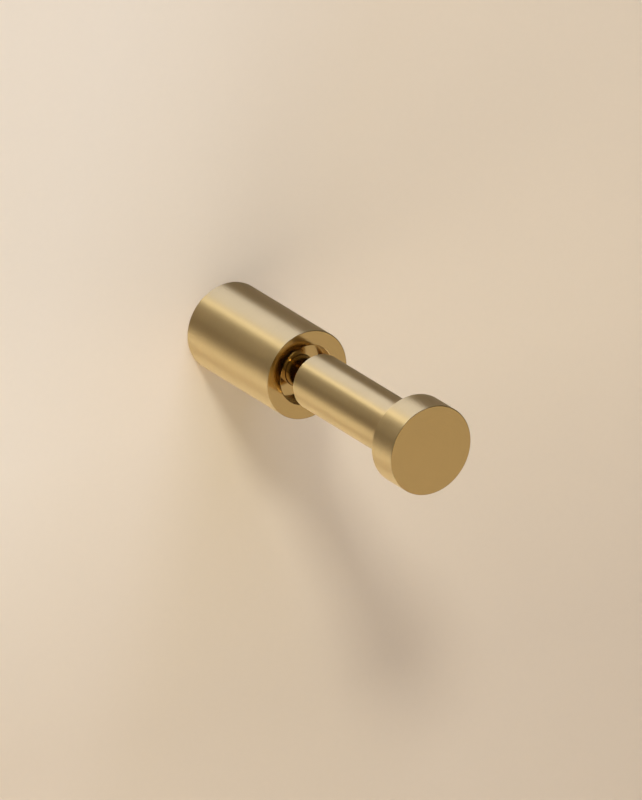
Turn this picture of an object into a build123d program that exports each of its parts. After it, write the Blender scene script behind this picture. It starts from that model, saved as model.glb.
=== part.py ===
from build123d import *
import math
import os

# A turned brass robe hook: a round sleeve against the wall, and a thinner peg with a disc head before it.
# The origin is the centre of the wall face, +Z is up and the hook points along -Y, into the room.
# All sizes are in millimetres, and a "distance" is measured from the wall face along the hook.

# Sleeve
SLEEVE_RADIUS = 10.0
SLEEVE_LENGTH = 31.5
RECESS_RADIUS = 6.6
RECESS_DEPTH = 3.0
SEAT_DEPTH = 1.5
WEB_THICKNESS = 7.0
SOCKET_RADIUS = 7.1

# Peg
PEG_RADIUS = 6.25
NECK_RADIUS = 3.5
SHOULDER_GAP = 3.5
SHOULDER_ROUNDING = 1.2
HEAD_THICKNESS = 7.5
PROJECTION = 79.5
TAPPED_DEPTH = 10.0

# Wall bracket and the vee groove round it
BRACKET_LENGTH = 8.0
WALL_SCREW_RADIUS = 2.5
WALL_SCREW_HEAD_RADIUS = 4.8
GROOVE_DEPTH = 2.0
GROOVE_FLOOR_WIDTH = 1.0
GROOVE_OFFSET = 0.3

# Screw that holds the peg, and the washer under its head
PEG_SCREW_RADIUS = 2.0
PEG_SCREW_LENGTH = 16.0
PEG_SCREW_HEAD_RADIUS = 3.5
PEG_SCREW_HEAD_HEIGHT = 4.0
PEG_SCREW_KEY = 3.0
PEG_SCREW_KEY_DEPTH = 2.0
WASHER_OUTER_RADIUS = 3.8
WASHER_THICKNESS = 0.9
WASHER_SPLIT = 0.7
WASHER_SPLIT_ANGLE = 25.0

# Grub screw in the underside of the sleeve
GRUB_RADIUS = 2.0
GRUB_SUNK = 0.33
GRUB_TIP_RADIUS = 0.8
GRUB_KEY = 2.0
GRUB_KEY_DEPTH = 1.6
GRUB_DISTANCE = 4.0

# Clearances and broken edges
BRACKET_CLEARANCE = 0.1
SEAT_CLEARANCE = 0.05
THREAD_CLEARANCE = 0.05
SCREW_HOLE_CLEARANCE = 0.25
GRUB_CLEARANCE = 0.05
EDGE_BREAK = 0.2
DRILL_POINT_ANGLE = 118.0
TOLERANCE = 0.001

# Places along the hook that more than one piece shares
RECESS_FLOOR = SLEEVE_LENGTH - RECESS_DEPTH
PEG_SEAT = RECESS_FLOOR - SEAT_DEPTH
SOCKET_FLOOR = PEG_SEAT - WEB_THICKNESS
SHOULDER = SLEEVE_LENGTH + SHOULDER_GAP
HEAD_BACK = PROJECTION - HEAD_THICKNESS
PEG_SCREW_SEAT = SOCKET_FLOOR - WASHER_THICKNESS

# The head is turned to the sleeve's diameter, so that the two look like slices of one bar
HEAD_RADIUS = SLEEVE_RADIUS


def turned(outline):
    """Turn a half section, given as (radius, distance) corners, about the hook's axis."""
    corners = [(radius, -distance) for radius, distance in outline]
    section = make_face(Polyline(*corners, close=True))
    return revolve(section, Axis.Y)


def drum(radius, near, far):
    """A plain cylinder on the hook's axis between two distances."""
    return turned([(0, near), (radius, near), (radius, far), (0, far)])


def drilled(radius, mouth, depth):
    """The space of a blind drilled hole, with the cone that the drill leaves."""
    cone = radius / math.tan(math.radians(DRILL_POINT_ANGLE / 2))
    end = mouth + depth
    return turned([(0, mouth), (radius, mouth), (radius, end), (0, end + cone)])


def hexagon_key(across_flats, mouth, depth):
    """The space of a hexagon socket that opens towards the wall."""
    plane = Plane(origin=(0, -mouth, 0), x_dir=(1, 0, 0), z_dir=(0, -1, 0))
    return extrude(plane * RegularPolygon(across_flats / 2, 6, major_radius=False), depth)


def round_edges(solid, radius, distance):
    """The round edges of one radius that lie at one distance from the wall."""
    circles = solid.edges().filter_by(GeomType.CIRCLE)
    wanted = [
        edge for edge in circles
        if abs(edge.radius - radius) < TOLERANCE and abs(edge.arc_center.Y + distance) < TOLERANCE
    ]
    return ShapeList(wanted)


def grub_tip_height():
    """How far from the hook's axis the grub screw's tip stops, bearing on the groove's room-side flank."""
    groove_floor = SOCKET_RADIUS - BRACKET_CLEARANCE - GROOVE_DEPTH
    sideways = GROOVE_OFFSET + GRUB_TIP_RADIUS - GROOVE_FLOOR_WIDTH / 2
    return groove_floor + sideways + GRUB_CLEARANCE * math.sqrt(2)


def make_sleeve():
    """The wall sleeve: a socket behind for the bracket, a web, and an open recess in front."""
    sleeve = drum(SLEEVE_RADIUS, 0, SLEEVE_LENGTH)
    sleeve -= drum(SOCKET_RADIUS, 0, SOCKET_FLOOR)
    sleeve -= drum(RECESS_RADIUS, RECESS_FLOOR, SLEEVE_LENGTH)
    sleeve -= drum(NECK_RADIUS + SEAT_CLEARANCE, PEG_SEAT, RECESS_FLOOR)
    sleeve -= drum(PEG_SCREW_RADIUS + SCREW_HOLE_CLEARANCE, SOCKET_FLOOR, PEG_SEAT)
    rims = round_edges(sleeve, SLEEVE_RADIUS, 0) + round_edges(sleeve, SLEEVE_RADIUS, SLEEVE_LENGTH)
    rims += round_edges(sleeve, RECESS_RADIUS, SLEEVE_LENGTH)
    sleeve = chamfer(rims, EDGE_BREAK)
    downward = (Align.CENTER, Align.CENTER, Align.MAX)
    tapping = Cylinder(GRUB_RADIUS + THREAD_CLEARANCE, SLEEVE_RADIUS, align=downward)
    return sleeve - Pos(0, -GRUB_DISTANCE, 0) * tapping


def make_peg():
    """The peg: a disc head, a shank and a thinner neck that seats in the web, turned from one bar."""
    peg = turned([
        (0, PEG_SEAT),
        (NECK_RADIUS, PEG_SEAT),
        (NECK_RADIUS, SHOULDER),
        (PEG_RADIUS, SHOULDER),
        (PEG_RADIUS, HEAD_BACK),
        (HEAD_RADIUS, HEAD_BACK),
        (HEAD_RADIUS, PROJECTION),
        (0, PROJECTION),
    ])
    peg = fillet(round_edges(peg, PEG_RADIUS, SHOULDER), SHOULDER_ROUNDING)
    rims = round_edges(peg, HEAD_RADIUS, HEAD_BACK) + round_edges(peg, HEAD_RADIUS, PROJECTION)
    peg = chamfer(rims, EDGE_BREAK)
    return peg - drilled(PEG_SCREW_RADIUS + THREAD_CLEARANCE, PEG_SEAT, TAPPED_DEPTH)


def make_wall_bracket():
    """The boss that is screwed to the wall, with a countersunk hole and a vee groove round it."""
    radius = SOCKET_RADIUS - BRACKET_CLEARANCE
    boss = drum(radius, 0, BRACKET_LENGTH)
    boss = chamfer(round_edges(boss, radius, BRACKET_LENGTH), EDGE_BREAK)
    sink = BRACKET_LENGTH - (WALL_SCREW_HEAD_RADIUS - WALL_SCREW_RADIUS)
    boss -= turned([
        (0, 0),
        (WALL_SCREW_RADIUS, 0),
        (WALL_SCREW_RADIUS, sink),
        (WALL_SCREW_HEAD_RADIUS, BRACKET_LENGTH),
        (0, BRACKET_LENGTH),
    ])
    middle = GRUB_DISTANCE - GROOVE_OFFSET
    floor = GROOVE_FLOOR_WIDTH / 2
    mouth = floor + GROOVE_DEPTH
    return boss - turned([
        (radius - GROOVE_DEPTH, middle - floor),
        (radius, middle - mouth),
        (radius, middle + mouth),
        (radius - GROOVE_DEPTH, middle + floor),
    ])


def make_peg_screw():
    """The socket head screw that pulls the peg against the web."""
    tip = PEG_SCREW_SEAT + PEG_SCREW_LENGTH
    head_end = PEG_SCREW_SEAT - PEG_SCREW_HEAD_HEIGHT
    screw = drum(PEG_SCREW_RADIUS, PEG_SCREW_SEAT, tip)
    screw += drum(PEG_SCREW_HEAD_RADIUS, head_end, PEG_SCREW_SEAT)
    rims = round_edges(screw, PEG_SCREW_RADIUS, tip) + round_edges(screw, PEG_SCREW_HEAD_RADIUS, head_end)
    screw = chamfer(rims, EDGE_BREAK)
    return screw - hexagon_key(PEG_SCREW_KEY, head_end, PEG_SCREW_KEY_DEPTH)


def make_lock_washer():
    """The split spring washer, clamped flat between the screw's head and the web."""
    ring = drum(WASHER_OUTER_RADIUS, PEG_SCREW_SEAT, SOCKET_FLOOR)
    ring -= drum(PEG_SCREW_RADIUS + THREAD_CLEARANCE, PEG_SCREW_SEAT, SOCKET_FLOOR)
    middle = (PEG_SCREW_SEAT + SOCKET_FLOOR) / 2
    upward = (Align.CENTER, Align.CENTER, Align.MIN)
    split = Box(WASHER_SPLIT, 2 * WASHER_OUTER_RADIUS, WASHER_OUTER_RADIUS, align=upward)
    return ring - Pos(0, -middle, 0) * Rot(0, 0, WASHER_SPLIT_ANGLE) * split


def make_grub_screw():
    """The cone-point grub screw, from its tip in the groove to just under the sleeve's surface."""
    tip = grub_tip_height()
    length = SLEEVE_RADIUS - GRUB_SUNK - tip
    taper = GRUB_RADIUS - GRUB_TIP_RADIUS
    section = make_face(Polyline(
        (0, 0),
        (GRUB_TIP_RADIUS, 0),
        (GRUB_RADIUS, taper),
        (GRUB_RADIUS, length - EDGE_BREAK),
        (GRUB_RADIUS - EDGE_BREAK, length),
        (0, length),
        close=True,
    ))
    screw = revolve(section, Axis.Y)
    key_plane = Plane(origin=(0, length, 0), x_dir=(1, 0, 0), z_dir=(0, -1, 0))
    screw -= extrude(key_plane * RegularPolygon(GRUB_KEY / 2, 6, major_radius=False), GRUB_KEY_DEPTH)
    return Pos(0, -GRUB_DISTANCE, -tip) * Rot(-90, 0, 0) * screw


NODES = {
    "sleeve": make_sleeve,
    "peg": make_peg,
    "wall_bracket": make_wall_bracket,
    "peg_screw": make_peg_screw,
    "lock_washer": make_lock_washer,
    "grub_screw": make_grub_screw,
}

os.makedirs("parts", exist_ok=True)
for name, make in NODES.items():
    export_step(make(), f"parts/{name}.step")
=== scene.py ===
import logging
import math
from dataclasses import dataclass, field
from enum import Enum
from typing import Callable, Sequence

import bmesh
import bpy
from mathutils import Matrix, Vector


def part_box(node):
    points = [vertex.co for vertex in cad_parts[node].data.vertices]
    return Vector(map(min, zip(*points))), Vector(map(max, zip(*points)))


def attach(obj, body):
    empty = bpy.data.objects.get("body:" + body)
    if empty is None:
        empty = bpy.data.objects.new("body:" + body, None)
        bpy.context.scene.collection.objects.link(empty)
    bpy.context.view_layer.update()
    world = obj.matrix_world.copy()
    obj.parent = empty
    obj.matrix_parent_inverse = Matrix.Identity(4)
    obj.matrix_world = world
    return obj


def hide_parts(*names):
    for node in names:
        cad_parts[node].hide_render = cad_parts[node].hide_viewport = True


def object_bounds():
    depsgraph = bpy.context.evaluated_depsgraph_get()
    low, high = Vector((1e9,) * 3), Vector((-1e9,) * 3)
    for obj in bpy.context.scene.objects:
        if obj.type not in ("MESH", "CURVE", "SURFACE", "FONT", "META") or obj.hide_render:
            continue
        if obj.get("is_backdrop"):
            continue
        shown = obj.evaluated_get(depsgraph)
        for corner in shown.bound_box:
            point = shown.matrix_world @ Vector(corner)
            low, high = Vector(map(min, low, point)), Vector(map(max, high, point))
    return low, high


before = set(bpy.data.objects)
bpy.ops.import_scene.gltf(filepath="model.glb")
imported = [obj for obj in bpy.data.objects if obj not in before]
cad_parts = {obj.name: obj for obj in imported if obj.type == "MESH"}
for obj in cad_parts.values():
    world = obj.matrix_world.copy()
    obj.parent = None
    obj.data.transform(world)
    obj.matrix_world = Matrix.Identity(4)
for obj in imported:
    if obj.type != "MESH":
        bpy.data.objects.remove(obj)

# A turned brass robe hook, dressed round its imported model. The hook's axis is Y: the wall face is at y = 0 and
# the hook points along -Y. A "distance" is measured from the wall face along the hook, and all lengths are metres.

LOG = logging.getLogger("robe_hook")
MM = 0.001
BODY = "root"

Colour = tuple[float, float, float, float]
Span = tuple[float, float]
Ring = list[Vector]
Socket = bpy.types.NodeSocket

# Sockets of a Mix node that mixes colours, which have no names of their own
MIX_FIRST, MIX_SECOND, MIX_RESULT = 6, 7, 2
# The least squared radius, which keeps a division by the radius finite on the axis
LEAST_SQUARE = 1e-12
# Blender counts the turn of an anisotropic gloss in whole turns
QUARTER_TURN = 0.25


class Slot(Enum):
    """The names of the record's material slots."""

    BRUSHED_BRASS = "brushed_brass"
    RAW_BRASS = "raw_brass"
    SCREW_STEEL = "screw_steel"


class Region(Enum):
    """The ways in which a turned piece is finished, from one surface to the next."""

    SIDE = 0
    FACE = 1
    BORE = 2


# Shader node groups


@dataclass
class NodeLayout:
    """A node tree with short helpers to add and join its nodes."""

    tree: bpy.types.NodeTree

    def add(self, kind: str, **settings: object) -> bpy.types.Node:
        """Add one node.

        Args:
            kind: the node's type name.
            settings: properties to set on it.

        Returns:
            The new node.
        """
        node = self.tree.nodes.new(kind)
        for key, value in settings.items():
            setattr(node, key, value)
        return node

    def join(self, source: Socket, target: Socket) -> None:
        """Link an output socket to an input socket."""
        self.tree.links.new(source, target)

    def feed(self, value: Socket | float | Colour, target: Socket) -> None:
        """Link a socket to an input, or set the input to a plain number or colour.

        Args:
            value: the socket, number or colour.
            target: the input.
        """
        if isinstance(value, Socket):
            self.join(value, target)
        else:
            target.default_value = value

    def math(self, operation: str, *values: Socket | float) -> Socket:
        """Add a Math node.

        Args:
            operation: its operation, such as MULTIPLY.
            values: its inputs, each a socket or a number.

        Returns:
            Its output socket.
        """
        node = self.add("ShaderNodeMath", operation=operation)
        for place, value in enumerate(values):
            self.feed(value, node.inputs[place])
        return node.outputs[0]

    def weigh(self, first: Socket, second: Socket, share: float) -> Socket:
        """Add a share, from 0 to 1, of one number to the rest of another."""
        return self.math("ADD", self.math("MULTIPLY", first, share), self.math("MULTIPLY", second, 1.0 - share))

    def squared_radius(self, across: Socket, up: Socket) -> Socket:
        """The square of how far a point is from the hook's axis, from its X and its Z."""
        return self.math("ADD", self.math("MULTIPLY", across, across), self.math("MULTIPLY", up, up))

    def split(self, vector: Socket) -> tuple[Socket, Socket, Socket]:
        """Split a vector into its X, Y and Z.

        Args:
            vector: the vector.

        Returns:
            The three numbers.
        """
        node = self.add("ShaderNodeSeparateXYZ")
        self.join(vector, node.inputs[0])
        return tuple(node.outputs)

    def noise(self, vector: Socket, scale: float, detail: float, roughness: float = 0.5) -> Socket:
        """Add a noise texture.

        Args:
            vector: where it is read.
            scale: features per unit of the vector.
            detail: octaves.
            roughness: how strong the small octaves are.

        Returns:
            Its value, about 0.5 on average.
        """
        node = self.add("ShaderNodeTexNoise", noise_dimensions="3D")
        self.join(vector, node.inputs["Vector"])
        node.inputs["Scale"].default_value = scale
        node.inputs["Detail"].default_value = detail
        node.inputs["Roughness"].default_value = roughness
        return node.outputs["Fac"]

    def span(self, value: Socket, read: Span, given: Span = (0.0, 1.0)) -> Socket:
        """Map a value from one range to another, held at both ends.

        Args:
            value: the value to map.
            read: start and end of the range read.
            given: what the start and the end become.

        Returns:
            The mapped value.
        """
        node = self.add("ShaderNodeMapRange")
        self.join(value, node.inputs["Value"])
        for name, number in zip(("From Min", "From Max", "To Min", "To Max"), (*read, *given)):
            node.inputs[name].default_value = number
        return node.outputs["Result"]

    def blend(self, share: Socket | float, first: Socket | Colour, second: Socket | Colour,
              blend_type: str = "MIX") -> Socket:
        """Mix two colours.

        Args:
            share: 0 for the first colour, 1 for the second.
            first: the first colour.
            second: the second colour.
            blend_type: how the second colour is laid over the first, such as MULTIPLY.

        Returns:
            The mixed colour.
        """
        node = self.add("ShaderNodeMix", data_type="RGBA", blend_type=blend_type)
        self.feed(share, node.inputs["Factor"])
        self.feed(first, node.inputs[MIX_FIRST])
        self.feed(second, node.inputs[MIX_SECOND])
        return node.outputs[MIX_RESULT]

    def emboss(self, height: Socket, depth: float, shader: bpy.types.Node) -> None:
        """Let a height between 0 and 1 shape a shader's surface.

        Args:
            height: the height.
            depth: what a height of 1 stands for, in metres.
            shader: the shader node.
        """
        bump = self.add("ShaderNodeBump")
        bump.inputs["Distance"].default_value = depth
        self.join(height, bump.inputs["Height"])
        self.join(bump.outputs[0], shader.inputs["Normal"])


def new_group(name: str, inputs: Sequence[tuple[str, float]], outputs: Sequence[str]) -> NodeLayout:
    """Make an empty shader node group with number sockets.

    Args:
        name: the group's name.
        inputs: names and default values of its inputs.
        outputs: names of its outputs.

    Returns:
        The group's layout, with its input and output nodes not yet added.
    """
    group = bpy.data.node_groups.new(name, "ShaderNodeTree")
    for socket_name, value in inputs:
        socket = group.interface.new_socket(socket_name, in_out="INPUT", socket_type="NodeSocketFloat")
        socket.default_value = value
    for socket_name in outputs:
        group.interface.new_socket(socket_name, in_out="OUTPUT", socket_type="NodeSocketFloat")
    return NodeLayout(group)


@dataclass(frozen=True)
class TurnedGrain:
    """Lines left by abrasive held against turning metal: round the sides, and in rings on the faces.

    Attributes:
        lines: grain lines in a metre, unless a metal sets its own.
        sweep: how fast a line changes on its way round the piece.
        line_octaves: octaves of the noise that the lines are read from.
        line_roughness: how strong its small octaves are.
        line_range: the values of that noise that become 0 and 1.
        patches: soft patches in a metre.
        patch_octaves: octaves of the patches' noise.
        patch_range: the values of that noise that become 0 and 1.
    """

    lines: float = 4000.0
    sweep: float = 2.5
    line_octaves: float = 3.0
    line_roughness: float = 0.62
    line_range: Span = (0.25, 0.75)
    patches: float = 90.0
    patch_octaves: float = 2.0
    patch_range: Span = (0.3, 0.7)

    def group(self) -> bpy.types.NodeTree:
        """Build the node group.

        Returns:
            A group whose Lines output is the grain and whose Haze output is a slow change over the piece.
        """
        layout = new_group("turned_grain", [("Lines Per Metre", self.lines), ("Sweep", self.sweep)],
                           ["Lines", "Haze"])
        given = layout.add("NodeGroupInput")
        made = layout.add("NodeGroupOutput")
        place = layout.add("ShaderNodeTexCoord").outputs["Object"]
        across, along, up = layout.split(place)
        radius = layout.math("SQRT", layout.math("MAXIMUM", layout.squared_radius(across, up), LEAST_SQUARE))
        turn = layout.math("MULTIPLY", layout.math("ADD", radius, along), given.outputs["Lines Per Metre"])
        around = layout.add("ShaderNodeCombineXYZ")
        layout.join(turn, around.inputs["X"])
        for way, axis in ((across, "Y"), (up, "Z")):
            swept = layout.math("MULTIPLY", layout.math("DIVIDE", way, radius), given.outputs["Sweep"])
            layout.join(swept, around.inputs[axis])
        lines = layout.noise(around.outputs[0], 1.0, self.line_octaves, self.line_roughness)
        haze = layout.noise(place, self.patches, self.patch_octaves)
        layout.join(layout.span(lines, self.line_range), made.inputs["Lines"])
        layout.join(layout.span(haze, self.patch_range), made.inputs["Haze"])
        return layout.tree


# Finishes


def new_material(name: str) -> tuple[bpy.types.Material, NodeLayout, bpy.types.Node]:
    """Make a material with one Principled shader.

    Args:
        name: the material's name.

    Returns:
        The material, its layout and its shader node.
    """
    material = bpy.data.materials.new(name)
    material.use_nodes = True
    return material, NodeLayout(material.node_tree), material.node_tree.nodes["Principled BSDF"]


@dataclass(frozen=True)
class TurnedMetal:
    """A bare or lacquered metal that was finished while it turned on its own axis.

    Attributes:
        name: the material's name.
        colour: its mean colour.
        roughness: its mean roughness.
        contrast: how far the grain's crests and grooves differ from the mean colour, as a share of it.
        spread: how much the roughness changes over the surface.
        grain_share: how much of that change follows the grain, and not its haze.
        stretch: how much further gloss spreads across the grain than along it.
        lacquer: share of the surface that clear lacquer covers.
        lacquer_roughness: the lacquer's own roughness.
        relief: height of the grain, in metres.
        lines: grain lines in a metre.
    """

    name: str
    colour: tuple[float, float, float]
    roughness: float
    contrast: float = 0.04
    spread: float = 0.04
    grain_share: float = 0.5
    stretch: float = 0.0
    lacquer: float = 0.0
    lacquer_roughness: float = 0.35
    relief: float = 2e-6
    lines: float = 5200.0

    def _shade(self, share: float) -> Colour:
        """The mean colour made lighter, or darker below 0, by a share of itself."""
        red, green, blue = (value * (1.0 + share) for value in self.colour)
        return (red, green, blue, 1.0)

    def material(self, grain: bpy.types.NodeTree) -> bpy.types.Material:
        """Build the material.

        Args:
            grain: the turned grain group.

        Returns:
            The material.
        """
        material, layout, shader = new_material(self.name)
        shader.inputs["Metallic"].default_value = 1.0
        shader.inputs["Coat Weight"].default_value = self.lacquer
        shader.inputs["Coat Roughness"].default_value = self.lacquer_roughness
        group = layout.add("ShaderNodeGroup", node_tree=grain)
        group.inputs["Lines Per Metre"].default_value = self.lines
        lines, haze = group.outputs["Lines"], group.outputs["Haze"]
        tint = layout.blend(lines, self._shade(-self.contrast), self._shade(self.contrast))
        layout.join(tint, shader.inputs["Base Color"])
        rough = layout.span(layout.weigh(lines, haze, self.grain_share), (0.0, 1.0),
                            (self.roughness - self.spread, self.roughness + self.spread))
        layout.join(rough, shader.inputs["Roughness"])
        if self.stretch:
            shader.inputs["Anisotropic"].default_value = self.stretch
            shader.inputs["Anisotropic Rotation"].default_value = QUARTER_TURN
            tangent = layout.add("ShaderNodeTangent", direction_type="RADIAL", axis="Y")
            layout.join(tangent.outputs[0], shader.inputs["Tangent"])
        layout.emboss(lines, self.relief, shader)
        return material


@dataclass(frozen=True)
class Paint:
    """A matt wall paint seen from its front only, with painted light to the upper left and painted shade low down.

    Attributes:
        name: the material's name.
        bright: painted light, a lighter colour to the left that stands for the room's light being strongest there.
        plain: its colour elsewhere.
        low: painted shade, a darker colour from just below the hook downwards, and on the floor.
        opening: radius of the clear spot behind the hook, through which its back is lit.
        slant: how far the edge of the painted light leans to the right for each metre up.
        painted_light_range: how far to the left of such an edge through the hook the painted light starts and is
            full.
        painted_shade_range: the heights at which the painted shade starts and is full.
        mottle: how far the tone changes over the paint, as a share of it.
        mottle_range: the values of the noise that give the darkest and the lightest tone.
        grain: roller marks in a metre.
        grain_octaves: octaves of the roller marks' noise.
        grain_roughness: how strong its small octaves are.
        grain_share: how much of the tone follows the roller marks, and not the patches.
        patches: soft patches in a metre.
        patch_octaves: octaves of the patches' noise.
        relief: height of the roller marks, in metres.
        roughness: how matt it is.
        specular: how much light its film reflects.
    """

    name: str
    bright: Colour
    plain: Colour
    low: Colour
    opening: float
    slant: float = 0.3
    painted_light_range: Span = (-0.02, 0.05)
    painted_shade_range: Span = (-0.02, -0.09)
    mottle: float = 0.015
    mottle_range: Span = (0.3, 0.7)
    grain: float = 700.0
    grain_octaves: float = 4.0
    grain_roughness: float = 0.6
    grain_share: float = 0.35
    patches: float = 9.0
    patch_octaves: float = 3.0
    relief: float = 2e-5
    roughness: float = 0.85
    specular: float = 0.2

    def material(self) -> bpy.types.Material:
        """Build the material.

        Returns:
            A matt material that is clear from behind and in the spot behind the hook, so that the hook shows in
            views from behind the wall and light reaches its back.
        """
        material, layout, shader = new_material(self.name)
        place = layout.add("ShaderNodeTexCoord").outputs["Object"]
        across, _, up = layout.split(place)
        # Painted light: the tone turns lighter to the upper left, where the room's light is strongest.
        leftward = layout.math("SUBTRACT", layout.math("MULTIPLY", up, self.slant), across)
        upper = layout.blend(layout.span(leftward, self.painted_light_range), self.plain, self.bright)
        # Painted shade: the tone turns darker from just below the hook downwards.
        with_painted_light_and_shade = layout.blend(layout.span(up, self.painted_shade_range), upper, self.low)
        marks = layout.noise(place, self.grain, self.grain_octaves, self.grain_roughness)
        patches = layout.noise(place, self.patches, self.patch_octaves)
        dark, light = 1.0 - self.mottle, 1.0 + self.mottle
        mottled = layout.span(layout.weigh(marks, patches, self.grain_share), self.mottle_range)
        shift = layout.blend(mottled, (dark, dark, dark, 1.0), (light, light, light, 1.0))
        layout.join(layout.blend(1.0, with_painted_light_and_shade, shift, "MULTIPLY"), shader.inputs["Base Color"])
        shader.inputs["Roughness"].default_value = self.roughness
        shader.inputs["Specular IOR Level"].default_value = self.specular
        layout.emboss(marks, self.relief, shader)
        behind = layout.add("ShaderNodeNewGeometry").outputs["Backfacing"]
        hidden = layout.math("LESS_THAN", layout.squared_radius(across, up), self.opening ** 2)
        choose = layout.add("ShaderNodeMixShader")
        layout.join(layout.math("MAXIMUM", behind, hidden), choose.inputs[0])
        layout.join(shader.outputs[0], choose.inputs[1])
        layout.join(layout.add("ShaderNodeBsdfTransparent").outputs[0], choose.inputs[2])
        layout.join(choose.outputs[0], material.node_tree.nodes["Material Output"].inputs["Surface"])
        return material


@dataclass(frozen=True)
class Room:
    """The light of the room round the hook, as a colour for each direction.

    A direction's depth is -1 straight out of the wall, 0 along the wall and 1 straight into it.

    Attributes:
        front: what the room's far side sends back onto the wall.
        side: what comes from along the wall, between the lamps.
        behind: what is seen behind the wall.
        front_range: the depths at which the front colour ends and the side colour is full.
        behind_range: the depths at which the side colour ends and the behind colour is full.
    """

    front: Colour = (0.45, 0.41, 0.34, 1)
    side: Colour = (0.005, 0.004, 0.003, 1)
    behind: Colour = (0.80, 0.78, 0.75, 1)
    front_range: Span = (-0.95, -0.55)
    behind_range: Span = (-0.08, -0.02)

    def build(self) -> None:
        """Make the world's light."""
        world = bpy.data.worlds.new("studio")
        world.use_nodes = True
        layout = NodeLayout(world.node_tree)
        _, depth, _ = layout.split(layout.add("ShaderNodeTexCoord").outputs["Generated"])
        before = layout.blend(layout.span(depth, self.front_range), self.front, self.side)
        light = layout.blend(layout.span(depth, self.behind_range), before, self.behind)
        sky = world.node_tree.nodes["Background"]
        layout.join(light, sky.inputs["Color"])
        sky.inputs["Strength"].default_value = 1.0
        bpy.context.scene.world = world


# Turned meshes


@dataclass(frozen=True)
class Corner:
    """One corner of a turned half section.

    Attributes:
        radius: how far it is from the hook's axis.
        distance: how far it is from the wall face.
        rounding: radius of the rounding that breaks the corner, or 0 at the axis.
        region: the finish of the run from this corner to the next.
    """

    radius: float
    distance: float
    rounding: float = 0.0
    region: Region = Region.SIDE


@dataclass(frozen=True)
class SectionPoint:
    """One point of a finished half section: radius, distance and the finish of the run that starts there."""

    radius: float
    distance: float
    region: Region


ARC_STEPS = 5
# How far beside an arc the points stand that keep the flat surfaces flat
SUPPORT = 0.04 * MM
# Points nearer to each other than this are one
SAME_POINT = 1e-9
SHARP_ANGLE = math.radians(35)
DRILL_POINT_ANGLE = math.radians(118)


def rotated(arm: Vector, angle: float) -> Vector:
    """Rotate a vector of a half section by an angle in radians."""
    return Vector((arm.x * math.cos(angle) - arm.y * math.sin(angle),
                   arm.x * math.sin(angle) + arm.y * math.cos(angle)))


def rounded_section(corners: Sequence[Corner]) -> list[SectionPoint]:
    """Replace each broken corner of a half section by an arc, with a support point on each side of it.

    Args:
        corners: the section's corners in order, closed from the last to the first.

    Returns:
        The section's points in the same order.
    """
    points: list[SectionPoint] = []
    count = len(corners)
    for place, corner in enumerate(corners):
        if corner.rounding <= 0:
            points.append(SectionPoint(corner.radius, corner.distance, corner.region))
            continue
        here = Vector((corner.radius, corner.distance))
        before = corners[place - 1]
        after = corners[(place + 1) % count]
        back = (Vector((before.radius, before.distance)) - here).normalized()
        ahead = (Vector((after.radius, after.distance)) - here).normalized()
        half_angle = back.angle(ahead) / 2
        reach = corner.rounding / math.tan(half_angle)
        centre = here + (back + ahead).normalized() * (corner.rounding / math.sin(half_angle))
        start, end = here + back * reach, here + ahead * reach
        lead_in, lead_out = here + back * (reach + SUPPORT), here + ahead * (reach + SUPPORT)
        points.append(SectionPoint(lead_in.x, lead_in.y, before.region))
        sweep = (start - centre).angle_signed(end - centre)
        for step in range(ARC_STEPS + 1):
            point = centre + rotated(start - centre, -sweep * step / ARC_STEPS)
            region = before.region if step < ARC_STEPS / 2 else corner.region
            points.append(SectionPoint(point.x, point.y, region))
        points.append(SectionPoint(lead_out.x, lead_out.y, corner.region))
    return points


def smooth(mesh: bpy.types.Mesh) -> None:
    """Shade a mesh smooth, apart from its sharp edges."""
    mesh.shade_smooth()
    mesh.set_sharp_from_angle(angle=SHARP_ANGLE)


def object_from(mesh: bpy.types.Mesh, name: str, materials: Sequence[bpy.types.Material]) -> bpy.types.Object:
    """Put a mesh into the scene as a smoothly shaded object with its materials.

    Args:
        mesh: the mesh.
        name: the object's name.
        materials: its material slots, in order.

    Returns:
        The object.
    """
    mesh.name = name
    piece = bpy.data.objects.new(name, mesh)
    bpy.context.scene.collection.objects.link(piece)
    for material in materials:
        mesh.materials.append(material)
    smooth(mesh)
    return piece


def skin(rings: Sequence[Ring], regions: Sequence[int], looped: bool) -> bpy.types.Mesh:
    """Join rings of points into a closed mesh. A ring whose points all fall together becomes one point.

    Args:
        rings: the rings, each with the same number of points.
        regions: the material index of the band from each ring to the next.
        looped: whether the last ring joins the first.

    Returns:
        The mesh, its faces turned outwards.
    """
    shape = bmesh.new()
    made = []
    for ring in rings:
        if (ring[0] - ring[len(ring) // 2]).length < SAME_POINT:
            made.append([shape.verts.new(ring[0])])
        else:
            made.append([shape.verts.new(point) for point in ring])
    bands = len(made) if looped else len(made) - 1
    for band in range(bands):
        first, second = made[band], made[(band + 1) % len(made)]
        sides = max(len(first), len(second))
        for step in range(sides):
            onward = (step + 1) % sides
            corners = [first[step % len(first)], first[onward % len(first)],
                       second[onward % len(second)], second[step % len(second)]]
            unique = list(dict.fromkeys(corners))
            if len(unique) > 2:
                face = shape.faces.new(unique)
                face.material_index = regions[band]
    bmesh.ops.recalc_face_normals(shape, faces=shape.faces)
    mesh = bpy.data.meshes.new("skin")
    shape.to_mesh(mesh)
    shape.free()
    return mesh


def point_round(radius: float, angle: float, distance: float) -> Vector:
    """A point at a radius from the hook's axis, in a direction in radians from straight up towards +X."""
    return Vector((radius * math.sin(angle), -distance, radius * math.cos(angle)))


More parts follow.
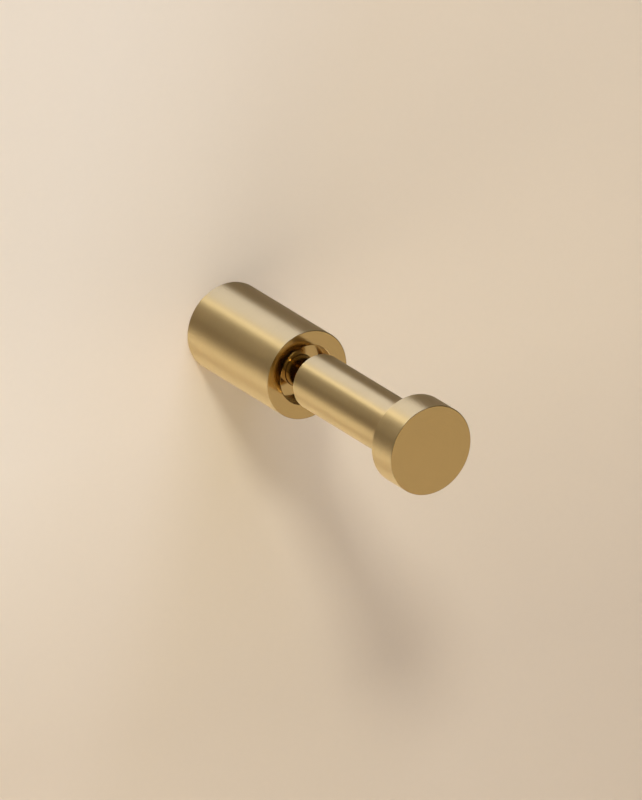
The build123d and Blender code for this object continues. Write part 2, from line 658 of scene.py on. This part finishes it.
@dataclass(frozen=True)
class RingMaker:
    """Makes rings of points round the hook's axis.

    Attributes:
        sides: how many points a ring has.
    """

    sides: int

    def shaped(self, radius_at: Callable[[float], float], distance: float) -> Ring:
        """Make a ring whose radius follows from the direction, given in radians."""
        angles = [math.tau * step / self.sides for step in range(self.sides)]
        return [point_round(radius_at(angle), angle, distance) for angle in angles]

    def round(self, *places: tuple[float, float]) -> list[Ring]:
        """Make round rings, each from its radius and its distance from the wall face."""
        return [self.shaped(lambda _, radius=radius: radius, distance) for radius, distance in places]

    def hexagon(self, across_flats: float, *distances: float) -> list[Ring]:
        """Make rings that follow a hexagon.

        Args:
            across_flats: the hexagon's size across its flats.
            distances: the distance of each from the wall face.

        Returns:
            The rings.
        """
        sector = math.tau / 6

        def radius_at(angle: float) -> float:
            """How far the hexagon's edge is from its middle in one direction."""
            return across_flats / 2 / math.cos((angle % sector) - sector / 2)

        return [self.shaped(radius_at, distance) for distance in distances]


def hexagon_corner(across_flats: float) -> float:
    """How far a hexagon's corners are from its middle, from its size across its flats."""
    return across_flats / 2 / math.cos(math.radians(30))


def turned_mesh(corners: Sequence[Corner], sides: int) -> bpy.types.Mesh:
    """Turn a half section about the hook's axis.

    Args:
        corners: the section's corners, closed from the last to the first.
        sides: how many steps the turn is made in.

    Returns:
        The mesh, with the regions' numbers as its material indices.
    """
    section = rounded_section(corners)
    rings = RingMaker(sides).round(*((max(point.radius, 0.0), point.distance) for point in section))
    return skin(rings, [point.region.value for point in section], looped=True)


@dataclass(frozen=True)
class Thread:
    """A vee thread round a screw.

    Attributes:
        radius: its outside radius.
        pitch: its advance in one turn.
        start: where it starts, measured along the screw.
        end: where it ends.
        depth: its depth, as a share of the pitch.
        root: how much of the pitch is flat at the bottom.
        crest: how much of the pitch is flat at the top.
    """

    radius: float
    pitch: float
    start: float
    end: float
    depth: float = 0.61
    root: float = 0.0625
    crest: float = 0.125

    def radius_at(self, angle: float, along: float) -> float:
        """The thread's radius at one point.

        Args:
            angle: the direction round the screw, in radians.
            along: the place along the screw.

        Returns:
            The radius there.
        """
        depth = self.depth * self.pitch
        phase = (along / self.pitch - angle / math.tau) % 1.0
        flank = 1.0 - self.root - self.crest
        groove = 1 - min(1.0, max(0.0, abs(phase - 0.5) * 2 - self.root) / flank)
        fade = min(1.0, max(0.0, (along - self.start) / self.pitch), max(0.0, (self.end - along) / self.pitch))
        return self.radius - depth * groove * fade

    def rings(self, maker: RingMaker, steps_in_pitch: int = 10) -> list[Ring]:
        """The thread as rings along the screw.

        Args:
            maker: makes the rings.
            steps_in_pitch: rings in one turn.

        Returns:
            The rings, from the thread's start to its end.
        """
        count = max(2, round((self.end - self.start) / self.pitch * steps_in_pitch))
        places = [self.start + (self.end - self.start) * step / count for step in range(count + 1)]
        return [maker.shaped(lambda angle, along=along: self.radius_at(angle, along), along) for along in places]


# Sub-assemblies


@dataclass
class Finishes:
    """The materials that the hook's pieces share.

    Attributes:
        side: brushed brass, with its grain round the piece.
        face: brushed brass, with its grain in rings.
        bore: brushed brass inside a hole.
        bare: machined brass on a side.
        cut: machined brass on a face or in a hole.
        steel: the screws and the washer.
    """

    side: bpy.types.Material
    face: bpy.types.Material
    bore: bpy.types.Material
    bare: bpy.types.Material
    cut: bpy.types.Material
    steel: bpy.types.Material

    def brass(self) -> list[bpy.types.Material]:
        """The brushed brass materials, in the order of the regions."""
        return [self.side, self.face, self.bore]

    def machined(self) -> list[bpy.types.Material]:
        """The machined brass materials, in the order of the regions."""
        return [self.bare, self.cut, self.cut]


def make_finishes() -> Finishes:
    """Build the hook's materials on one shared grain group.

    Returns:
        The finishes.
    """
    grain = TurnedGrain().group()
    side = TurnedMetal("brushed_brass_side", (0.504, 0.370, 0.170), roughness=0.55, stretch=1.0, lacquer=0.3)
    face = TurnedMetal("brushed_brass_face", (0.504, 0.354, 0.145), roughness=0.12, stretch=0.3, spread=0.03)
    bore = TurnedMetal("brushed_brass_bore", (0.504, 0.354, 0.145), roughness=0.12, stretch=0.3, spread=0.03,
                       lines=3000.0)
    bare = TurnedMetal("machined_brass_side", (0.60, 0.46, 0.24), roughness=0.30, contrast=0.08, stretch=0.6,
                       relief=6e-6, lines=2600.0)
    cut = TurnedMetal("machined_brass_cut", (0.60, 0.46, 0.24), roughness=0.24, contrast=0.06, relief=4e-6,
                      lines=3200.0)
    steel = TurnedMetal("stainless_steel", (0.55, 0.545, 0.53), roughness=0.30, contrast=0.1, lines=6000.0)
    return Finishes(side.material(grain), face.material(grain), bore.material(grain),
                    bare.material(grain), cut.material(grain), steel.material(grain))


def place_piece(piece: bpy.types.Object, node: str) -> None:
    """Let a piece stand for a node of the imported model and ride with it.

    Args:
        piece: the dressed piece.
        node: the node that it stands for.
    """
    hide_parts(node)
    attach(piece, BODY)
    LOG.info("%s stands for %s with %d faces", piece.name, node, len(piece.data.polygons))


@dataclass
class Sleeve:
    """The round sleeve against the wall, open in front and behind, with a web between."""

    finishes: Finishes
    radius: float
    length: float
    recess_radius: float = 6.6 * MM
    recess_floor: float = 28.5 * MM
    seat_radius: float = 3.55 * MM
    seat: float = 27.0 * MM
    socket_floor: float = 20.0 * MM
    socket_radius: float = 7.1 * MM
    screw_hole_radius: float = 2.25 * MM
    edge: float = 0.2 * MM
    inner_edge: float = 0.1 * MM
    grub_hole_radius: float = 2.05 * MM
    grub_distance: float = 4.0 * MM
    grub_hole_sides: int = 96
    sides: int = 256

    def build(self) -> bpy.types.Object:
        """Build the sleeve with its recess, socket and grub screw hole.

        Returns:
            The piece.
        """
        edge, inner = self.edge, self.inner_edge
        mesh = turned_mesh([
            Corner(self.socket_radius, 0.0, inner, Region.FACE),
            Corner(self.radius, 0.0, edge, Region.SIDE),
            Corner(self.radius, self.length, edge, Region.FACE),
            Corner(self.recess_radius, self.length, edge, Region.BORE),
            Corner(self.recess_radius, self.recess_floor, inner, Region.FACE),
            Corner(self.seat_radius, self.recess_floor, inner, Region.BORE),
            Corner(self.seat_radius, self.seat, inner, Region.BORE),
            Corner(self.screw_hole_radius, self.seat, inner, Region.BORE),
            Corner(self.screw_hole_radius, self.socket_floor, inner, Region.FACE),
            Corner(self.socket_radius, self.socket_floor, inner, Region.BORE),
        ], self.sides)
        piece = object_from(mesh, "turned_sleeve", self.finishes.brass())
        self._drill(piece)
        place_piece(piece, "sleeve")
        return piece

    def _drill(self, piece: bpy.types.Object) -> None:
        """Drill the grub screw hole through the underside.

        Args:
            piece: the turned sleeve.
        """
        shape = bmesh.new()
        bmesh.ops.create_cone(shape, cap_ends=True, segments=self.grub_hole_sides, depth=self.radius,
                              radius1=self.grub_hole_radius, radius2=self.grub_hole_radius)
        drill_mesh = bpy.data.meshes.new("drill")
        shape.to_mesh(drill_mesh)
        shape.free()
        drill = bpy.data.objects.new("drill", drill_mesh)
        drill.location = (0.0, -self.grub_distance, -self.radius)
        bpy.context.scene.collection.objects.link(drill)
        cut = piece.modifiers.new("grub_hole", "BOOLEAN")
        cut.operation = "DIFFERENCE"
        cut.solver = "EXACT"
        cut.object = drill
        bpy.context.view_layer.update()
        drilled = bpy.data.meshes.new_from_object(piece.evaluated_get(bpy.context.evaluated_depsgraph_get()))
        piece.modifiers.clear()
        piece.data = drilled
        bpy.data.objects.remove(drill)
        for face in drilled.polygons:
            off_axis = Vector((face.center.x, face.center.y + self.grub_distance)).length
            if off_axis < self.grub_hole_radius and face.center.z < 0:
                face.material_index = Region.BORE.value
        smooth(drilled)


@dataclass
class Peg:
    """The peg: a disc head, a shank and a thinner neck that goes down into the sleeve's recess."""

    finishes: Finishes
    projection: float
    head_radius: float
    head_thickness: float = 7.5 * MM
    shank_radius: float = 6.25 * MM
    shoulder: float = 35.0 * MM
    shoulder_rounding: float = 1.2 * MM
    neck_radius: float = 3.5 * MM
    seat: float = 27.0 * MM
    tapped_radius: float = 2.05 * MM
    tapped_depth: float = 10.0 * MM
    edge: float = 0.2 * MM
    inner_edge: float = 0.1 * MM
    sides: int = 256

    def build(self) -> bpy.types.Object:
        """Build the peg.

        Returns:
            The piece.
        """
        head_back = self.projection - self.head_thickness
        drill_cone = self.tapped_radius / math.tan(DRILL_POINT_ANGLE / 2)
        tapped_end = self.seat + self.tapped_depth
        mesh = turned_mesh([
            Corner(0.0, tapped_end + drill_cone, region=Region.BORE),
            Corner(self.tapped_radius, tapped_end, self.inner_edge, Region.BORE),
            Corner(self.tapped_radius, self.seat, self.inner_edge, Region.BORE),
            Corner(self.neck_radius, self.seat, self.inner_edge, Region.BORE),
            Corner(self.neck_radius, self.shoulder, self.inner_edge, Region.FACE),
            Corner(self.shank_radius, self.shoulder, self.shoulder_rounding, Region.SIDE),
            Corner(self.shank_radius, head_back, self.inner_edge, Region.FACE),
            Corner(self.head_radius, head_back, self.edge, Region.SIDE),
            Corner(self.head_radius, self.projection, self.edge, Region.FACE),
            Corner(0.0, self.projection, region=Region.FACE),
        ], self.sides)
        piece = object_from(mesh, "turned_peg", self.finishes.brass())
        place_piece(piece, "peg")
        return piece


@dataclass
class WallBracket:
    """The brass boss that is screwed to the wall inside the sleeve."""

    finishes: Finishes
    radius: float
    length: float
    hole_radius: float = 2.5 * MM
    sink_radius: float = 4.8 * MM
    groove_middle: float = 3.7 * MM
    groove_depth: float = 2.0 * MM
    groove_floor: float = 1.0 * MM
    edge: float = 0.2 * MM
    inner_edge: float = 0.1 * MM
    sides: int = 192

    def build(self) -> bpy.types.Object:
        """Build the boss with its countersunk hole and the groove for the grub screw's point.

        Returns:
            The piece.
        """
        inner = self.inner_edge
        floor = self.groove_floor / 2
        mouth = floor + self.groove_depth
        bottom = self.radius - self.groove_depth
        middle = self.groove_middle
        sink = self.length - (self.sink_radius - self.hole_radius)
        mesh = turned_mesh([
            Corner(self.hole_radius, 0.0, inner, Region.FACE),
            Corner(self.radius, 0.0, inner, Region.SIDE),
            Corner(self.radius, middle - mouth, inner, Region.BORE),
            Corner(bottom, middle - floor, inner, Region.BORE),
            Corner(bottom, middle + floor, inner, Region.BORE),
            Corner(self.radius, middle + mouth, inner, Region.SIDE),
            Corner(self.radius, self.length, self.edge, Region.FACE),
            Corner(self.sink_radius, self.length, inner, Region.BORE),
            Corner(self.hole_radius, sink, inner, Region.BORE),
        ], self.sides)
        piece = object_from(mesh, "turned_bracket", self.finishes.machined())
        place_piece(piece, "wall_bracket")
        return piece


@dataclass
class PegScrew:
    """The socket head screw that pulls the peg against the web, with a knurled head and a cut thread.

    Where its broken edges bend and its knurls start and end is given in shares of the edge.
    """

    finishes: Finishes
    head_end: float
    tip: float
    head_radius: float
    radius: float = 2.0 * MM
    head_height: float = 4.0 * MM
    key: float = 3.0 * MM
    key_depth: float = 2.0 * MM
    pitch: float = 0.7 * MM
    knurls: int = 36
    knurl_depth: float = 0.08 * MM
    edge: float = 0.25 * MM
    edge_middle: float = 0.3
    knurl_start: float = 1.6
    knurl_end: float = 1.2
    back_edge_height: float = 0.6
    back_edge_width: float = 0.4
    key_lead: float = 0.1 * MM
    key_lead_depth: float = 0.2 * MM
    key_cone: float = 0.4 * MM
    seat_fillet: float = 0.12 * MM
    plain_length: float = 0.5 * MM
    tip_edge: float = 0.3 * MM
    sides: int = 144

    def _head_radius_at(self, angle: float) -> float:
        """The knurled head's radius in a direction given in radians."""
        return self.head_radius - self.knurl_depth * abs(math.sin(self.knurls / 2 * angle))

    def build(self) -> bpy.types.Object:
        """Build the screw.

        Returns:
            The piece.
        """
        seat = self.head_end + self.head_height
        key_floor = self.head_end + self.key_depth
        plain_head = self.head_radius - self.knurl_depth
        middle = self.edge * self.edge_middle
        maker = RingMaker(self.sides)
        thread = Thread(self.radius, self.pitch, seat + self.plain_length, self.tip - self.tip_edge)
        rings = [
            *maker.round((0.0, key_floor + self.key_cone)),
            *maker.hexagon(self.key, key_floor, key_floor - SUPPORT, self.head_end + self.key_lead_depth),
            *maker.round((hexagon_corner(self.key) + self.key_lead, self.head_end),
                         (plain_head - self.edge, self.head_end),
                         (plain_head - middle, self.head_end + middle),
                         (plain_head, self.head_end + self.edge)),
            maker.shaped(self._head_radius_at, self.head_end + self.edge * self.knurl_start),
            maker.shaped(self._head_radius_at, seat - self.edge * self.knurl_end),
            *maker.round((plain_head, seat - self.edge * self.back_edge_height),
                         (plain_head - self.edge * self.back_edge_width, seat),
                         (self.radius + self.seat_fillet, seat),
                         (self.radius, seat + self.seat_fillet)),
            *thread.rings(maker),
            *maker.round((self.radius - self.tip_edge, self.tip), (0.0, self.tip)),
        ]
        mesh = skin(rings, [0] * len(rings), looped=False)
        piece = object_from(mesh, "threaded_peg_screw", [self.finishes.steel])
        place_piece(piece, "peg_screw")
        return piece


@dataclass
class LockWasher:
    """The split spring washer under the peg screw's head."""

    finishes: Finishes
    outer_radius: float
    near: float
    far: float
    inner_radius: float = 2.05 * MM
    split: float = 0.7 * MM
    split_angle: float = 25.0
    rounding: float = 0.06 * MM
    steps: int = 160

    def _end_angle(self, radius: float, distance: float, side: int) -> float:
        """Where the slanted split cuts the ring.

        Args:
            radius: how far the point is from the axis.
            distance: how far it is from the wall face.
            side: -1 for the cut's one face, 1 for its other.

        Returns:
            The direction of the cut's face there, in radians.
        """
        slant = math.radians(self.split_angle)
        off_middle = (self.near + self.far) / 2 - distance
        across = (side * self.split / 2 - off_middle * math.sin(slant)) / math.cos(slant)
        return math.asin(across / radius)

    def build(self) -> bpy.types.Object:
        """Build the washer.

        Returns:
            The piece.
        """
        section = rounded_section([
            Corner(self.inner_radius, self.near, self.rounding),
            Corner(self.outer_radius, self.near, self.rounding),
            Corner(self.outer_radius, self.far, self.rounding),
            Corner(self.inner_radius, self.far, self.rounding),
        ])
        loops = []
        for step in range(self.steps + 1):
            loop = []
            for point in section:
                first = self._end_angle(point.radius, point.distance, 1)
                last = self._end_angle(point.radius, point.distance, -1) + math.tau
                angle = first + (last - first) * step / self.steps
                loop.append(point_round(point.radius, angle, point.distance))
            loops.append(loop)
        ends = [[sum(loop, Vector()) / len(loop)] * len(loop) for loop in (loops[0], loops[-1])]
        rings = [ends[0], *loops, ends[1]]
        mesh = skin(rings, [0] * len(rings), looped=False)
        piece = object_from(mesh, "split_washer", [self.finishes.steel])
        place_piece(piece, "lock_washer")
        return piece


@dataclass
class GrubScrew:
    """The cone-point grub screw that holds the sleeve on the bracket, made along its own axis and stood upright."""

    finishes: Finishes
    top: float
    length: float
    distance: float = 4.0 * MM
    radius: float = 2.0 * MM
    tip_radius: float = 0.8 * MM
    key: float = 2.0 * MM
    key_depth: float = 1.6 * MM
    key_lead: float = 0.08 * MM
    key_lead_depth: float = 0.12 * MM
    key_cone: float = 0.3 * MM
    pitch: float = 0.7 * MM
    edge: float = 0.2 * MM
    sides: int = 144

    def build(self) -> bpy.types.Object:
        """Build the grub screw with its point up and its hexagon socket below.

        Returns:
            The piece.
        """
        taper = self.radius - self.tip_radius
        end = self.length
        maker = RingMaker(self.sides)
        rings = [
            *maker.round((0.0, 0.0), (self.tip_radius, 0.0), (self.radius - self.edge, taper - self.edge)),
            *Thread(self.radius, self.pitch, taper, end - self.edge).rings(maker),
            *maker.round((self.radius - self.edge, end), (hexagon_corner(self.key) + self.key_lead, end)),
            *maker.hexagon(self.key, end - self.key_lead_depth, end - self.key_depth),
            *maker.round((0.0, end - self.key_depth - self.key_cone)),
        ]
        mesh = skin(rings, [0] * len(rings), looped=False)
        piece = object_from(mesh, "threaded_grub_screw", [self.finishes.steel])
        piece.rotation_euler = (math.radians(90), 0.0, 0.0)
        piece.location = (0.0, -self.distance, self.top)
        place_piece(piece, "grub_screw")
        return piece


# Studio


@dataclass(frozen=True)
class Softbox:
    """A flat soft light that faces the hook from one direction of the room.

    Attributes:
        name: its name.
        turn: its direction seen from the room, in degrees clockwise from straight up.
        rise: how far it stands out from the wall, in degrees.
        wide: how wide it looks from the hook, in degrees.
        tall: how tall it looks from the hook, in degrees.
        brightness: how bright its face is.
        colour: the tint of its light.
        away: how far it stands from the hook.
    """

    name: str
    turn: float
    rise: float
    wide: float
    tall: float
    brightness: float
    colour: tuple[float, float, float] = (1.0, 1.0, 1.0)
    away: float = 1.2

    def build(self, target: Vector) -> None:
        """Stand the light in its place.

        Args:
            target: the point that it faces.
        """
        turn, rise = math.radians(self.turn), math.radians(self.rise)
        heading = Vector((math.sin(turn) * math.cos(rise), -math.sin(rise), math.cos(turn) * math.cos(rise)))
        front = Vector((0.0, -1.0, 0.0))
        upright = (front - heading * heading.dot(front)).normalized()
        lamp = bpy.data.lights.new(self.name, "AREA")
        lamp.shape = "RECTANGLE"
        lamp.size = 2 * self.away * math.tan(math.radians(self.wide / 2))
        lamp.size_y = 2 * self.away * math.tan(math.radians(self.tall / 2))
        lamp.energy = math.pi * lamp.size * lamp.size_y * self.brightness
        lamp.color = self.colour
        stand = bpy.data.objects.new(self.name, lamp)
        stand.visible_camera = False
        stand.location = target + heading * self.away
        stand.rotation_mode = "QUATERNION"
        stand.rotation_quaternion = Matrix((upright.cross(heading), upright, heading)).transposed().to_quaternion()
        bpy.context.scene.collection.objects.link(stand)


@dataclass
class Studio:
    """The pale wall and floor, the lights and the camera.

    The photo's sizes and the place of the wall's centre in it, from its top left, are in pixels, the camera's azimuth
    and elevation are in degrees and its sensor in millimetres. The wall's opening is a clear spot behind the hook.
    """

    photo_height: int = 800
    photo_width: int = 642
    azimuth: float = -32.8
    elevation: float = 23.2
    camera_away: float = 4.5
    sensor: float = 36.0
    pixels_per_metre: float = 4703.0
    wall_centre_x: float = 226.9
    wall_centre_y: float = 326.0
    wall_size: float = 3.0
    wall_gap: float = 0.02 * MM
    wall_opening: float = 9.6 * MM
    floor_drop: float = 0.45
    target: Vector = field(default_factory=lambda: Vector((0.0, -0.04, 0.0)))
    softboxes: list[Softbox] = field(default_factory=lambda: [
        Softbox("upper_strip", -1, 10, 39, 20, 14.8, (0.52, 0.62, 1.0)),
        Softbox("key_light", -27, 39.8, 8, 8, 69.0, (0.90, 0.94, 1.0)),
        Softbox("upper_left_box", -54, 12, 26, 24, 0.9),
        Softbox("lower_left_strip", 232, 5.5, 46, 10, 6.3, (0.92, 0.95, 1.0), away=0.62),
        Softbox("lower_box", 200, 7, 38, 13, 6.0, (0.88, 0.93, 1.0), away=0.42),
        Softbox("left_box", 252, 7.5, 28, 14, 4.7, away=0.8),
        Softbox("right_front_fill", 128, 50, 44, 44, 0.20, (1.0, 0.97, 0.92), away=0.9),
    ])

    def build(self) -> None:
        """Build the whole studio."""
        self._camera()
        self._surfaces()
        for softbox in self.softboxes:
            softbox.build(self.target)
        Room().build()
        bpy.context.scene.view_settings.view_transform = "Standard"

    def _camera(self) -> None:
        """Stand the camera at the photo's viewing angle, with the hook's wall centre at its place in the frame."""
        turn, rise = math.radians(self.azimuth), math.radians(self.elevation)
        back = Vector((math.sin(turn) * math.cos(rise), -math.cos(turn) * math.cos(rise), math.sin(rise)))
        right = Vector((math.cos(turn), math.sin(turn), 0.0))
        up = back.cross(right)
        aside = (self.photo_width / 2 - self.wall_centre_x) / self.pixels_per_metre
        above = (self.wall_centre_y - self.photo_height / 2) / self.pixels_per_metre
        data = bpy.data.cameras.new("camera")
        data.sensor_width = self.sensor
        data.lens = self.pixels_per_metre * self.camera_away * self.sensor / self.photo_height
        camera = bpy.data.objects.new("camera", data)
        camera.location = right * aside + up * above + back * self.camera_away
        camera.rotation_mode = "QUATERNION"
        camera.rotation_quaternion = back.to_track_quat("Z", "Y")
        bpy.context.scene.collection.objects.link(camera)
        bpy.context.scene.camera = camera

    def _surfaces(self) -> None:
        """Build the wall behind the hook and the floor below it."""
        # The bright tone paints light to the upper left and the low tone paints shade low down, over the plain paint
        # colour.
        paint = Paint("wall_paint_with_painted_light_and_shade", bright=(0.90, 0.775, 0.585, 1), plain=(0.865, 0.718, 0.505, 1),
                      low=(0.755, 0.625, 0.45, 1), opening=self.wall_opening).material()
        half = self.wall_size / 2
        gap, floor = self.wall_gap, -self.floor_drop
        wall = [(-half, gap, floor), (half, gap, floor), (half, gap, half), (-half, gap, half)]
        ground = [(-half, -half, floor), (half, -half, floor), (half, gap, floor), (-half, gap, floor)]
        for name, corners in (("wall", wall), ("floor", ground)):
            mesh = bpy.data.meshes.new(name)
            mesh.from_pydata(corners, [], [(0, 1, 2, 3)])
            mesh.materials.append(paint)
            plane = bpy.data.objects.new(name, mesh)
            bpy.context.scene.collection.objects.link(plane)
            plane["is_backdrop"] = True


def plain(box: tuple[Vector, Vector]) -> list[list[float]]:
    """A box's two corners as plain lists of numbers."""
    return [[float(value) for value in corner] for corner in box]


def main() -> None:
    """Build the studio and every piece of the hook."""
    logging.basicConfig(level=logging.INFO, format="%(name)s: %(message)s")
    cad_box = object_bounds()
    Studio().build()
    finishes = make_finishes()
    sleeve_low, sleeve_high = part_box("sleeve")
    Sleeve(finishes, radius=sleeve_high.x, length=-sleeve_low.y).build()
    peg_low, peg_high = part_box("peg")
    Peg(finishes, projection=-peg_low.y, head_radius=peg_high.x).build()
    bracket_low, bracket_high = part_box("wall_bracket")
    WallBracket(finishes, radius=bracket_high.x, length=-bracket_low.y).build()
    screw_low, screw_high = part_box("peg_screw")
    PegScrew(finishes, head_end=-screw_high.y, tip=-screw_low.y, head_radius=screw_high.x).build()
    washer_low, washer_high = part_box("lock_washer")
    LockWasher(finishes, outer_radius=washer_high.x, near=-washer_high.y, far=-washer_low.y).build()
    grub_low, grub_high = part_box("grub_screw")
    GrubScrew(finishes, top=grub_high.z, length=grub_high.z - grub_low.z).build()
    {"cad": plain(cad_box), "visual": plain(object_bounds())}


if __name__ == "__main__":
    main()
